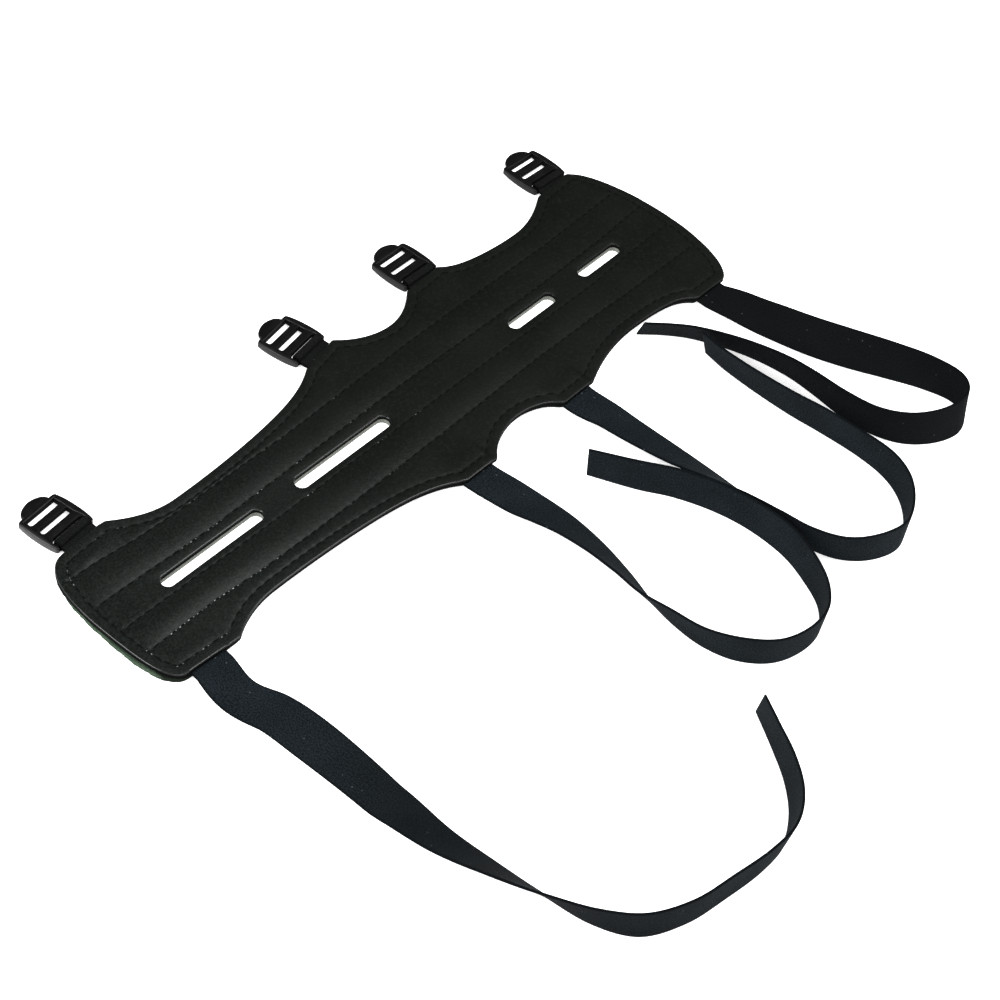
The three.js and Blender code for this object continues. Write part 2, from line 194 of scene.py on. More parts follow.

# Straps: side of its resting edge on which the band lies, 1 for left of the route and -1 for right, how
# much painted shade darkens the start, middle and end, where the strap leaves the guard, slant of the cut
# end, and the route of the resting edge as (x, y, lean from the floor in degrees)
STRAPS = [
    {
        "side": -1,
        "painted_shade": (0, 0.45, 0.15),
        "exit": -33,
        "slant": -4,
        "route": [
            (-126.2, -25, 0), (-126.2, -36, 0), (-128.2, -48, -2), (-125.6, -61, -12),
            (-125.7, -77, -24), (-124, -95, -9), (-123.8, -113, 4), (-124.8, -131, 22),
            (-123.6, -149, 39), (-122, -166, 56), (-119.4, -183, 75), (-112.3, -196.3, 86),
            (-98.4, -203.7, 87), (-82.8, -207, 87), (-67, -209.2, 85), (-54, -208.6, 83),
            (-43, -203.4, 84), (-33.4, -194.6, 89), (-25, -183, 94), (-17.1, -170.8, 96),
        ],
    },
    {
        "side": -1,
        "painted_shade": (0, 0.1, 0),
        "exit": -39.8,
        "slant": 1,
        "route": [
            (0.2, -31, 0), (0.4, -42, 0), (2.4, -54, 1), (3.5, -66, 11),
            (3.4, -78, 21), (1.4, -92, 32), (-2.2, -106, 43), (-6.2, -118, 53),
            (-8.5, -130, 67), (-8.6, -142, 74), (-5, -153.4, 82), (3, -162.4, 84),
            (14, -166.6, 86), (25, -166.2, 88), (34.4, -160, 90), (40.6, -149, 88),
            (44.6, -137, 87), (45.4, -122, 89), (43, -107.6, 90), (37.6, -93.4, 90),
            (30.6, -81.4, 91), (22.9, -64.9, 97),
        ],
    },
    {
        "side": -1,
        "painted_shade": (0, 0, 0.1),
        "exit": -39,
        "slant": 0,
        "route": [
            (56, -31, 0), (56, -42, 0), (57.3, -54, 8), (57.6, -69, 15),
            (57.8, -85, 24), (57.6, -100, 38), (56.8, -114, 52), (55, -129, 66),
            (54.2, -141, 75), (58, -152, 80), (66.3, -160.1, 87), (77.5, -163.8, 90),
            (88.3, -159.8, 90), (97, -152.2, 90), (102.4, -142, 93), (104.2, -129, 98),
            (103.6, -113, 99), (102.3, -98, 102), (102.1, -82, 106), (102.8, -68, 109),
            (104.6, -57, 111),
        ],
    },
    {
        "side": 1,
        "painted_shade": (0.8, 0.7, 0.4),
        "exit": -39.4,
        "slant": 0,
        "route": [
            (122.8, -31, 0), (122.8, -42, 0), (125.4, -54, 12), (128.2, -68, 25),
            (132.4, -84, 38), (138.2, -98.6, 52), (145, -112, 66), (151.2, -125, 77),
            (154.4, -137, 88), (150.6, -144.8, 97), (141.6, -147.8, 105), (131, -144.2, 103),
            (122, -136.2, 96), (117.2, -125, 87), (116.2, -112, 82), (117.6, -98, 76),
            (118, -86, 71), (116, -72.4, 66), (112, -60, 63), (106.4, -48.4, 61),
            (100, -40, 60), (92.6, -32.6, 60),
        ],
    },
]

# Buckles: middle of the loop's exit on the lobe's edge, turn in degrees, free length of the loop
BUCKLES = [
    (-127.9, 32.6, 5.7, 2.2),
    (-6.3, 38.6, 9, 3.1),
    (52.2, 39.9, 0, 0.4),
    (131.8, 41.2, -1.8, 1.2),
]
BUCKLE_START = 0.8
BUCKLE_END = 18.3
BUCKLE_BOTTOM = 0.2
BUCKLE_TOP = 3.3
RAIL_INNER = 7.8
SLOT_END = 7.1
SLOT_FILLET = 0.7
RAIL_END = 9.2
RAIL_BULGE = 0.6
BUCKLE_CORNER = 1.0
INNER_BAR = (1.5, 2.9)
BARS = [(5, 8.5), (11, 13.9)]
BAR_BOTTOM = 1.15
BAR_TOP = 3.1
BAR_OVERLAP = 0.15
END_WALL = (17, 18.3)
END_WALL_BOTTOM = 0.5
END_WALL_TOP = 3.2
INSIDE_FADE = (2.6, 3.0)
# Painted highlight with extra gloss on one outer flank of the rails, and its share on each buckle
FLANK_SPAN = (8.2, 8.9)
FLANK_GLOSS_AND_HIGHLIGHT = (0.4, 0.14, 0.03, 0)
TAB_END = 22.2
TAB_HALF_WIDTH = 6.4
TAB_BOTTOM = 1.4
TAB_TOP = 3.1
SECTION_POINTS = 28

# Loops round the buckles' inner bars
LOOP_WALL = 0.75
LOOP_GAP = 0.25
LOOP_NECK = 0.32
LOOP_ROUNDNESS = 5
TONGUE_STEPS = np.array([0, 0.05, 0.2, 0.5, 3, 5.5, 8])

# Camera, by the photograph: frame and focal length in millimetres, place, angles in radians
CAMERA_FRAME = 36
CAMERA_LENS = 85.34
CAMERA_PLACE = (-478.13, -351.11, 618.22)
CAMERA_YAW = 1.00233
CAMERA_PITCH = 0.83787
CAMERA_ROLL = 0.1879

# Studio: floor in millimetres, and lights as name, place and size in metres, power in watts
FLOOR_REACH = 6000.0
FLOOR_LEVEL = -0.05
SKY_STRENGTH = 0.2
VIEW_GAMMA = 0.8
LIGHTS = [
    ("overhead", (0.32, -0.24, 0.95), 0.5, 10),
    ("left", (-0.84, 0.32, 0.62), 0.5, 13),
    ("right", (0.6, -0.8, 0.46), 0.4, 3.5),
    ("front", (-0.55, -0.6, 0.9), 0.8, 9),
]


def smoothstep(value, low, high):
    """0 below low, 1 above high and 3t^2 - 2t^3 between them."""
    t = np.clip((value - low) / (high - low), 0, 1)
    return t * t * (3 - 2 * t)


def quarter_round(distance, radius):
    """Share of full thickness at a distance from a rounded edge: a quarter of a circle."""
    return np.sqrt(1 - (1 - np.clip(distance / radius, 0, 1)) ** 2)


def path_run(path):
    """Distance along a path of points to each of them."""
    steps = np.hypot(*np.diff(path, axis=0).T)
    return np.concatenate([[0], np.cumsum(steps)])


def unit(rows):
    """Each row divided by its length."""
    return rows / np.linalg.norm(rows, axis=1, keepdims=True)


def left_of(along):
    """Each direction in plan, turned a quarter to the left."""
    return np.stack([-along[:, 1], along[:, 0]], axis=1)


def grid_faces(rows, columns):
    """Quads over a grid of points, with the last column joined to the first."""
    i = np.arange(rows - 1)[:, None] * columns
    j = np.arange(columns)[None, :]
    after = (j + 1) % columns
    quads = np.stack([i + j, i + columns + j, i + columns + after, i + after], axis=-1)
    return quads.reshape(-1, 4)


def join_shells(shells):
    """Points and quads of several grids that wrap round, as one list of each."""
    points = []
    faces = []
    count = 0
    for rings in shells:
        rows, columns = rings.shape[:2]
        points.append(rings.reshape(-1, 3))
        faces.append(grid_faces(rows, columns) + count)
        count += rows * columns
    return np.concatenate(points), np.concatenate(faces)


def add_piece(name, points, faces, finish, layers):
    """A mesh object at the origin from points in millimetres and quads. Doubled points are merged, which
    closes seams and poles, and all faces are turned outwards."""
    mesh = bpy.data.meshes.new(name)
    mesh.from_pydata((points * MM).tolist(), [], faces.tolist())
    for label, values in layers.items():
        kind, field = ("FLOAT", "value") if values.ndim == 1 else ("FLOAT_VECTOR", "vector")
        layer = mesh.attributes.new(label, kind, "POINT")
        layer.data.foreach_set(field, values.astype(np.float32).ravel())
    work = bmesh.new()
    work.from_mesh(mesh)
    bmesh.ops.remove_doubles(work, verts=work.verts, dist=MERGE_DISTANCE * MM)
    bmesh.ops.recalc_face_normals(work, faces=work.faces)
    work.to_mesh(mesh)
    work.free()
    mesh.polygons.foreach_set("use_smooth", np.ones(len(mesh.polygons), bool))
    mesh.set_sharp_from_angle(angle=math.radians(SHARP_ANGLE))
    mesh.materials.append(finish)
    piece = bpy.data.objects.new(name, mesh)
    bpy.context.scene.collection.objects.link(piece)
    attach(piece, "root")
    return piece


# The guard's outline


def side_reach(side, x, ends):
    """Distance of one long edge from the axis at each x. A lobe is straight between its corners. A bay
    rises from its waist by sweep t^2 + (1 - sweep) t^8, with t from 0 at the waist to 1 at the corner.
    The ends are quarters of a superellipse."""
    lobes = side["lobes"]
    near_power, far_power = side["powers"]
    near, near_reach = lobes[0][:2]
    far, far_reach = lobes[-1][2:]
    near_run = np.clip((near - x) / (near - ends[0]), 0, 1)
    far_run = np.clip((x - far) / (ends[1] - far), 0, 1)
    near_end = near_reach * (1 - near_run**near_power) ** (1 / near_power)
    far_end = far_reach * (1 - far_run**far_power) ** (1 / far_power)
    reach = np.where(x < near, near_end, far_end)
    for first, first_reach, last, last_reach in lobes:
        share = np.clip((x - first) / (last - first), 0, 1)
        on_lobe = (x >= first) & (x <= last)
        reach = np.where(on_lobe, first_reach + (last_reach - first_reach) * share, reach)
    for before, after, bay in zip(lobes, lobes[1:], side["bays"]):
        waist, low, near_sweep, far_sweep = bay
        rising = x > waist
        corner = np.where(rising, after[0], before[2])
        corner_reach = np.where(rising, after[1], before[3])
        sweep = np.where(rising, far_sweep, near_sweep)
        t = np.clip((x - waist) / (corner - waist), 0, 1)
        rise = sweep * t**2 + (1 - sweep) * t**8
        in_bay = (x > before[2]) & (x < after[0])
        reach = np.where(in_bay, low + (corner_reach - low) * rise, reach)
    return reach


def soft_reach(side, x, ends):
    """The reach with the lobes' corners softened: its mean over a short span of x between the ends."""
    offsets = np.linspace(-CORNER_SOFTNESS, CORNER_SOFTNESS, 9)
    mean = np.mean([side_reach(side, x + offset, ends) for offset in offsets], axis=0)
    between = (x > side["lobes"][0][0] + 1) & (x < side["lobes"][-1][2] - 1)
    return np.where(between, mean, side_reach(side, x, ends))


def past_slot(x, near, far, radius):
    """How far each x lies past the straight stretch of a slot, 0 along it."""
    return np.maximum(np.maximum(near + radius - x, x - far + radius), 0)


def slot_half_width(x):
    """Half the opening's width at each x: constant along a slot, a half circle at its ends, 0 elsewhere."""
    half = np.zeros_like(x)
    for near, far, _, width in SLOTS:
        radius = width / 2
        past = past_slot(x, near, far, radius)
        half = np.maximum(half, np.sqrt(np.maximum(radius**2 - past**2, 0)))
    return half


def axis_line(x):
    """Middle of the slots at each x, straight between one slot and the next and back to the axis at both
    ends."""
    places = [place for near, far, _, _ in SLOTS for place in (near, far)]
    middles = [middle for _, _, middle, _ in SLOTS for _ in range(2)]
    return np.interp(x, [FACE_ENDS[0], *places, FACE_ENDS[1]], [0, *middles, 0])


def slot_distance(x, y):
    """Distance from each point to the nearest slot's edge, from its middle line less its radius."""
    nearest = np.full_like(x, np.inf)
    for near, far, middle, width in SLOTS:
        radius = width / 2
        away = np.hypot(past_slot(x, near, far, radius), y - middle) - radius
        nearest = np.minimum(nearest, away)
    return np.maximum(nearest, 0)


def guard_stations(ends, spacing):
    """Values of x along the guard: evenly spaced, closer by a cosine towards the blunt ends and towards
    the round ends of the slots."""
    first, last = BLUNT_FROM
    blunt = np.cos(np.linspace(0, np.pi / 2, 64)) ** BLUNT_POWER
    parts = [first + (ends[0] - first) * blunt, last + (ends[1] - last) * blunt]
    parts.append(np.arange(first, last, spacing))
    for near, far, _, width in SLOTS:
        lead = width / 2 * (1 - np.cos(np.linspace(0, np.pi / 2, 10)))
        parts += [near + lead, far - lead]
    x = np.unique(np.round(np.concatenate(parts), 3))
    return x[np.concatenate([[True], np.diff(x) > LEAST_STEP])]


def closed_outline():
    """The leather's edge as a closed polyline: along the strap side and back along the buckle side."""
    x = guard_stations(FACE_ENDS, spacing=0.8)
    strap_edge = np.stack([x, -soft_reach(STRAP_SIDE, x, FACE_ENDS)], axis=1)
    buckle_edge = np.stack([x, soft_reach(BUCKLE_SIDE, x, FACE_ENDS)], axis=1)
    return np.concatenate([strap_edge, buckle_edge[-2::-1]])


OUTLINE = closed_outline()
OUTLINE_RUN = path_run(OUTLINE)
OUTLINE_PITCH = OUTLINE_RUN[-1] / round(OUTLINE_RUN[-1] / STITCH_PITCH)
POINTS_AT_ONCE = 1200


def edge_distance(x, y):
    """Distance from each point to the leather's edge, and the run along the edge to the nearest place:
    the least over all pieces of the outline, for a batch of points at a time."""
    start = OUTLINE[:-1]
    step = np.diff(OUTLINE, axis=0)
    square = np.maximum((step**2).sum(axis=1), 1e-9)
    gaps = []
    runs = []
    for part in np.array_split(np.arange(len(x)), max(1, len(x) // POINTS_AT_ONCE)):
        dx = x[part, None] - start[:, 0]
        dy = y[part, None] - start[:, 1]
        t = np.clip((dx * step[:, 0] + dy * step[:, 1]) / square, 0, 1)
        away = (dx - t * step[:, 0]) ** 2 + (dy - t * step[:, 1]) ** 2
        best = np.argmin(away, axis=1)
        row = np.arange(len(part))
        gaps.append(np.sqrt(away[row, best]))
        runs.append(OUTLINE_RUN[best] + t[row, best] * np.sqrt(square[best]))
    return np.concatenate(gaps), np.concatenate(runs)


def tongue_mask(x, y):
    """1 over the webbing ends sewn between the layers, fading to 0 beside them over a short span."""
    fade = 2.2
    half = WEB_WIDTH / 2
    mask = np.zeros_like(x)
    for place_x, place_y, turn, _ in BUCKLES:
        c, s = math.cos(math.radians(turn)), math.sin(math.radians(turn))
        u = (x - place_x) * c + (y - place_y) * s
        v = (y - place_y) * c - (x - place_x) * s
        beside = smoothstep(half + fade - np.abs(u), 0, fade)
        mask = np.maximum(mask, beside * smoothstep(v + TONGUE_DEPTH + fade, 0, fade))
    for strap in STRAPS:
        edge_x, inner_y, _ = strap["route"][0]
        middle = edge_x + strap["side"] * half
        beside = smoothstep(half + fade - np.abs(x - middle), 0, fade)
        mask = np.maximum(mask, beside * smoothstep(inner_y + fade - y, 0, fade))
    return mask


def channel(x, y):
    """Inner seam, outer seam and crown of the padded channel on each point's side, between its rows."""
    buckle_rows = np.array(BUCKLE_PAD, float)
    strap_rows = np.array(STRAP_PAD, float)
    found = []
    for column in (1, 2, 3):
        on_buckle_side = np.interp(x, buckle_rows[:, 0], buckle_rows[:, column])
        on_strap_side = np.interp(x, strap_rows[:, 0], strap_rows[:, column])
        found.append(np.where(y >= 0, on_buckle_side, on_strap_side))
    return found


def face_height(x, y):
    """Height of the leather's top and distance to its nearest edge. On the flat top stand the two padded
    domes, crown (1 - t^2)^1.4 across each channel, and the panels beside them, which swell away from
    their seams. Seams are grooves of Gaussian section with a pucker at each needle hole, shallower
    towards the far end. The leather lifts over the webbing ends, waves slightly and is rounded at its
    edges and at the slots."""
    gap, run = edge_distance(x, y)
    opening = slot_distance(x, y)
    inner, outer, crown = channel(x, y)
    reach = np.abs(y)
    t = (reach - (inner + outer) / 2) / ((outer - inner) / 2)
    flatter = 1 - SHALLOW_SHARE * smoothstep(x, *SHALLOW_SPAN)
    dome = crown * np.maximum(1 - t * t, 0) ** DOME_POWER
    panel = np.minimum(reach - outer, gap - SEAM_INSET)
    swell = PANEL_SWELL * (1 - np.exp(-np.maximum(panel, 0) / SWELL_LENGTH))
    border = BORDER_RISE * np.exp(-(((gap - SEAM_INSET / 2) / BORDER_HALF_WIDTH) ** 2))
    in_line = smoothstep(x, SEAM_SPAN[0] - 1, SEAM_SPAN[0] + 1)
    in_line = in_line * (1 - smoothstep(x, SEAM_SPAN[1] - 1, SEAM_SPAN[1] + 1))
    pucker = 0
    groove = 0
    lines = [
        (reach - inner, x / STITCH_PITCH, in_line),
        (reach - outer, x / STITCH_PITCH, in_line),
        (gap - SEAM_INSET, run / OUTLINE_PITCH, 1),
    ]
    for away, stitches, present in lines:
        groove = np.maximum(groove, present * np.exp(-((away / SEAM_HALF_WIDTH) ** 2)))
        needle_hole = (0.5 + 0.5 * np.cos(stitches * 2 * np.pi)) ** 3
        beside_line = np.exp(-((away / PUCKER_HALF_WIDTH) ** 2))
        pucker = np.maximum(pucker, present * needle_hole * beside_line)
    lift = TONGUE_LIFT * tongue_mask(x, y)
    waves = LONG_WAVE * np.sin(x / 23 + 0.6) * np.cos(y / 17) + SHORT_WAVE * np.sin(x / 9.1 + y / 7.3)
    waves = waves * smoothstep(gap, 0, WAVE_FADE)
    rim = EDGE_ROUNDING * (1 - quarter_round(gap, EDGE_ROUNDING))
    lip = SLOT_ROUNDING * (1 - quarter_round(opening, SLOT_ROUNDING))
    lip = lip + SLOT_DIP * np.exp(-((opening / SLOT_DIP_WIDTH) ** 2))
    height = FACE_TOP + dome + swell + border + lift + waves
    height = height - flatter * (SEAM_DEPTH * groove + PUCKER_DEPTH * pucker) - rim - lip
    return height, np.minimum(gap, opening)


def spread(knots, shares):
    """Columns between knots: each panel between two knots is divided by its own list of shares."""
    columns = []
    for low, high, part in zip(knots, knots[1:], shares):
        columns += [low + (high - low) * share for share in part]
    columns.append(knots[-1])
    return np.stack(columns, axis=1)


def half_sheet(x, inner, top, top_height, bottom, bottom_height):
    """Points and quads of one half of a layer: at each x a loop over the top from the slot or axis to the
    edge, down the edge, back below and up the slot's wall. Where there is no slot the wall is left out."""
    over = np.stack([np.broadcast_to(x[:, None], top.shape), top, top_height], axis=-1)
    under = np.stack([np.broadcast_to(x[:, None], bottom.shape), bottom, bottom_height], axis=-1)
    edge = (over[:, -1:] + under[:, :1]) / 2
    wall = (over[:, :1] + under[:, -1:]) / 2
    loop = np.concatenate([over, edge, under, wall], axis=1)
    rows, columns = loop.shape[:2]
    faces = grid_faces(rows, columns).reshape(rows - 1, columns, 4)
    open_here = (inner[1:] > 0) | (inner[:-1] > 0)
    is_wall = np.arange(columns) >= columns - 2
    kept = open_here[:, None] | ~is_wall[None, :]
    return loop.reshape(-1, 3), faces[kept]


def join_halves(halves):
    """Points and quads of both halves of a layer, as one list of each."""
    (points, faces), (more_points, more_faces) = halves
    joined_faces = np.concatenate([faces, more_faces + len(points)])
    return np.concatenate([points, more_points]), joined_faces


TOP_SHARES = (
    (0, 0.03, 0.08, 0.15, 0.25, 0.45, 0.65, 0.82, 0.93),
    (0, 0.04, 0.09, 0.18, 0.3, 0.43, 0.57, 0.7, 0.82, 0.91, 0.96),
    (0, 0.05, 0.12, 0.3, 0.5, 0.7, 0.88, 0.95),
    (0, 0.1, 0.25, 0.5, 0.72, 0.82, 0.89, 0.94, 0.975, 0.993),
)
UNDER_SHARES = (1, 0.95, 0.85, 0.7, 0.4, 0)
# Columns over the seams keep to shares of the reach: inner and outer seam at most, edge seam at least
INNER_SEAM_LIMIT = 0.3
OUTER_SEAM_LIMIT = 0.8
EDGE_SEAM_LIMIT = 0.83


def half_columns(side, x, reach, inner):
    """Columns across one half of the face, from the slot or axis over the inner seam, the outer seam and
    the perimeter seam to the edge."""
    first, second, _ = channel(x, np.full_like(x, side["sign"]))
    slope = np.gradient(reach, x)
    border = SEAM_INSET * np.clip(np.sqrt(1 + slope**2), 1, 2)
    knots = [
        side["sign"] * axis_line(x) + inner,
        np.minimum(first, INNER_SEAM_LIMIT * reach),
        np.minimum(second, OUTER_SEAM_LIMIT * reach),
        np.maximum(reach - border, EDGE_SEAM_LIMIT * reach),
        reach,
    ]
    knots[0] = np.where(reach < 1, 0, knots[0])
    return side["sign"] * spread(knots, TOP_SHARES)


def make_face(finish):
    """The leather face: two halves that meet along the axis, each a height over columns and stations."""
    x = guard_stations(FACE_ENDS, spacing=0.62)
    inner = slot_half_width(x)
    halves = []
    rims = []
    for side in SIDES:
        reach = soft_reach(side, x, FACE_ENDS)
        top = half_columns(side, x, reach, inner)
        stations = np.repeat(x, top.shape[1])
        height, rim = face_height(stations, top.ravel())
        bottom = top[:, -1:] * np.array(UNDER_SHARES) + top[:, :1] * (1 - np.array(UNDER_SHARES))
        lift = tongue_mask(np.repeat(x, bottom.shape[1]), bottom.ravel()).reshape(bottom.shape)
        below = FACE_BOTTOM + TONGUE_LIFT * lift
        halves.append(half_sheet(x, inner, top, height.reshape(top.shape), bottom, below))
        rim_loop = np.zeros((len(x), top.shape[1] + bottom.shape[1] + 2))
        rim_loop[:, : top.shape[1]] = rim.reshape(top.shape)
        rims.append(rim_loop.ravel())
    points, faces = join_halves(halves)
    piece = add_piece("leather_face", points, faces, finish, {"rim": np.concatenate(rims)})
    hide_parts("face_panel")


def make_backing(finish):
    """The felt backing: a flat layer a little smaller than the face, which peeps out with a ragged edge at
    the near end, is cut back there towards the buckle side and dips under the webbing ends."""
    x = guard_stations(BACKING_ENDS, spacing=1.2)
    inner = slot_half_width(x)
    shares = ((0, 0.05, 0.2, 0.5, 0.75, 0.88, 0.95, 0.985),)
    halves = []
    for side in SIDES:
        trim = BACKING_TRIM * smoothstep(x, *BACKING_TRIM_SPAN)
        reach = np.maximum(soft_reach(side, x, BACKING_ENDS) - trim, 0)
        low = np.where(reach < 1, 0, side["sign"] * axis_line(x) + inner)
        top = side["sign"] * spread([low, reach], shares)
        bottom = top[:, ::-1]
        mask = tongue_mask(np.repeat(x, top.shape[1]), top.ravel()).reshape(top.shape)
        gap = np.abs(top[:, -1:] - top)
        soft_edge = FELT_EDGE_DROP * (1 - quarter_round(gap, FELT_EDGE_WIDTH))
        above = BACKING_TOP - TONGUE_SINK * mask - soft_edge
        below = soft_edge[:, ::-1]
        halves.append(half_sheet(x, inner, top, above, bottom, below))
    points, faces = join_halves(halves)
    y = points[:, 1]
    ragged = 0.06 * np.sin(1.7 * y) + 0.05 * np.sin(2.9 * y + 1.1) + 0.1 * np.sin(0.63 * y + 2)
    cut_back = FELT_CUT_BACK * smoothstep(y, *FELT_CUT_SPAN)
    near_end = 1 - smoothstep(points[:, 0] - BACKING_ENDS[0], *FELT_RAGGED_SPAN)
    points[:, 0] += (ragged + cut_back) * near_end
    cut = 1 - smoothstep(slot_distance(points[:, 0], points[:, 1]), *FELT_WALL_SPAN)
    piece = add_piece("felt_backing", points, faces, finish, {"cut": cut})
    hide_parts("backing")


# Stitches


def stitch_places(path, run, pitch, clearance):
    """Places half way between the needle holes, which lie at whole pitches of the run along a path, with
    the direction of the path there. Places closer to the leather's edge than the clearance are left out."""
    wanted = np.arange(math.ceil(run[0] / pitch), math.floor(run[-1] / pitch)) * pitch + pitch / 2

    def path_at(run_there):
        return np.stack([np.interp(run_there, run, path[:, k]) for k in (0, 1)], axis=1)

    middle = path_at(wanted)
    along = unit(path_at(wanted + 0.5) - path_at(wanted - 0.5))
    gap, _ = edge_distance(middle[:, 0], middle[:, 1])
    kept = gap > clearance
    return middle[kept], along[kept]


def all_stitches():
    """Middles and directions of the stitches on the perimeter seam, which is the outline moved inwards along
    its normal, and on the four seams beside the padded channels."""
    inwards = left_of(unit(np.gradient(OUTLINE, axis=0)))
    moved = OUTLINE + SEAM_INSET * inwards
    found = [stitch_places(moved, OUTLINE_RUN, OUTLINE_PITCH, SEAM_INSET - 0.06)]
    x = np.arange(SEAM_SPAN[0] - 3, SEAM_SPAN[1] + 3, 0.5)
    for sign in (1, -1):
        inner, outer, _ = channel(x, np.full_like(x, sign))
        for seam in (inner, outer):
            path = np.stack([x, sign * seam], axis=1)
            found.append(stitch_places(path, x, STITCH_PITCH, SEAM_INSET + 0.6))
    return [np.concatenate(part) for part in zip(*found)]


def make_stitches(finish):
    """The sewing thread: each stitch is a round thread that rises from one needle hole and sinks into the
    next, with the height 1 - s^4 and the radius (1 - s^2)^0.35 along s from -1 to 1. A layer picks the
    threads that get a painted glint, a pale fleck at their ends."""
    middle, along = all_stitches()
    draws = np.random.default_rng(STITCH_SEED)
    lean = draws.normal(0, STITCH_LEAN, len(middle))
    along = along + lean[:, None] * left_of(along)
    s = np.array([-1, -0.88, -0.5, 0, 0.5, 0.88, 1])
    turn = np.arange(6) * np.pi / 3
    centre = middle[:, None, :] + along[:, None, :] * (s * STITCH_LENGTH / 2)[None, :, None]
    height, _ = face_height(centre[..., 0].ravel(), centre[..., 1].ravel())
    height = height.reshape(centre.shape[:2]) - STITCH_SINK + STITCH_RISE * (1 - s**4)
    radius = STITCH_RADIUS * (1 - s**2) ** 0.35
    beside = left_of(along)
    shift = radius[:, None] * np.cos(turn)
    rise = radius[:, None] * np.sin(turn)
    plan = centre[:, :, None, :] + beside[:, None, None, :] * shift[None, :, :, None]
    up = height[:, :, None] + rise[None]
    rings = np.concatenate([plan, up[..., None]], axis=-1)
    needle = np.broadcast_to(np.abs(s)[None, :, None], rings.shape[:3])
    x, y = middle.T
    # Painted glints: more of them along one stretch of a seam, fewer towards the far end and on the
    # perimeter seam near the near end
    glinting = np.exp(-((y - GLINT_SEAM[1]) ** 2) - ((x - GLINT_SEAM[0]) / GLINT_LENGTH) ** 2)
    gap, _ = edge_distance(x, y)
    at_edge = 1 - smoothstep(gap, SEAM_INSET, SEAM_INSET + 0.6)
    fewer_glints = FAR_FEWER_GLINTS_SHARE * smoothstep(x, *FAR_FEWER_GLINTS_SPAN)
    fewer_glints = fewer_glints + EDGE_FEWER_GLINTS_SHARE * at_edge * smoothstep(x, *EDGE_FEWER_GLINTS_SPAN)
    chance = draws.random(len(middle)) + GLINT_SHARE * glinting - fewer_glints
    pick = np.broadcast_to(chance[:, None, None], rings.shape[:3])
    points, faces = join_shells(list(rings))
    layers = {"needle": needle.ravel(), "pick": pick.ravel()}
    add_piece("stitching", points, faces, finish, layers)


# Webbing


WEB_COLUMNS = np.array([0, 0.05, 0.18, 0.45, 1.1, 2.6, 5, 7.5, 10, 12.4, 13.9, 14.55, 14.82, 14.95, 15])


def ribbon(base, web, thick, run, thickness, slant):
    """A band with rounded edges and ends, carried along its base edge. Across the band w goes from 0 to the
    width, and half the thickness stands on each side of base + w web, less a quarter round at the edges.
    The slant moves points along the band in proportion to w."""
    w = WEB_COLUMNS
    round_edge = quarter_round(np.minimum(w, WEB_WIDTH - w), WEB_THICKNESS / 2)
    round_end = quarter_round(np.minimum(run, run[-1] - run), WEB_THICKNESS / 2)
    half = (thickness * round_end / 2)[:, None] * round_edge[None, :]
    middle = base[:, None, :] + web[:, None, :] * w[None, :, None]
    middle = middle + slant[:, None, :] * (w / WEB_WIDTH)[None, :, None]
    above = middle + thick[:, None, :] * half[:, :, None]
    below = middle - thick[:, None, :] * half[:, :, None]
    rings = np.concatenate([above, below[:, ::-1]], axis=1)
    across = np.concatenate([w, w[::-1]])
    weave = np.zeros(rings.shape)
    weave[..., 0] = run[:, None] * MM
    weave[..., 1] = across[None, :] * MM
    return rings, weave.reshape(-1, 3)


def smooth_route(rows, t):
    """A uniform Catmull-Rom curve through the rows, at t from 0 to 1, with reflected end rows."""
    rows = np.array(rows, float)
    rows = np.concatenate([[2 * rows[0] - rows[1]], rows, [2 * rows[-1] - rows[-2]]])
    spans = len(rows) - 3
    place = np.minimum((t * spans).astype(int), spans - 1)
    f = (t * spans - place)[:, None]
    a, b, c, d = (rows[place + k] for k in range(4))
    slope_b = (c - a) / 2
    slope_c = (d - b) / 2
    cubic = 2 * b - 2 * c + slope_b + slope_c
    square = -3 * b + 3 * c - 2 * slope_b - slope_c
    return cubic * f**3 + square * f**2 + slope_b * f + b


def end_steps(count):
    """Parameters from 0 to 1, even but for a few close steps at both ends, where a band is rounded."""
    close = np.array([0.0001, 0.0004, 0.0009, 0.0016])
    return np.unique(np.concatenate([np.linspace(0, 1, count), close, 1 - close]))


def make_strap(number, strap, finish):
    """A strap: a flat section that turns about its resting edge and is carried along its route. The edge
    rests on the floor and drops to it from between the layers over a smooth step."""
    t = end_steps(count=231)
    route = smooth_route(strap["route"], t)
    along = unit(np.gradient(route[:, :2], t, axis=0))
    run = path_run(route[:, :2])
    lean = np.radians(route[:, 2])
    across = left_of(along) * strap["side"]
    web = np.column_stack([across * np.cos(lean)[:, None], np.sin(lean)])
    thick = np.column_stack([-across * np.sin(lean)[:, None], np.cos(lean)])
    lowest = np.minimum(0, np.minimum(WEB_WIDTH * web[:, 2], WEB_THICKNESS * thick[:, 2]))
    lift = TONGUE_BOTTOM * (1 - smoothstep(strap["exit"] - route[:, 1], 0, DROP_LENGTH))
    lift = np.where(t < 0.5, lift, 0)
    base = np.column_stack([route[:, :2], lift - lowest + thick[:, 2] * WEB_THICKNESS / 2])
    cut = strap["slant"] * smoothstep(run, run[-1] - SLANT_LENGTH, run[-1])
    slant = np.column_stack([along * cut[:, None], np.zeros(len(t))])
    rings, weave = ribbon(base, web, thick, run, np.full_like(t, WEB_THICKNESS), slant)
    points, faces = join_shells([rings])
    start, middle, end = strap["painted_shade"]
    # Painted shade along the strap: darker where the strap lies in shade, from its start over the middle to
    # its end
    painted_shade = np.interp(weave[:, 0] / MM, SHADE_PLACES, (start, middle, middle, end))
    layers = {"weave": weave, "painted_shade": painted_shade}
    piece = add_piece(f"elastic_strap_{number}", points, faces, finish, layers)
    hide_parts(f"strap_{number}")


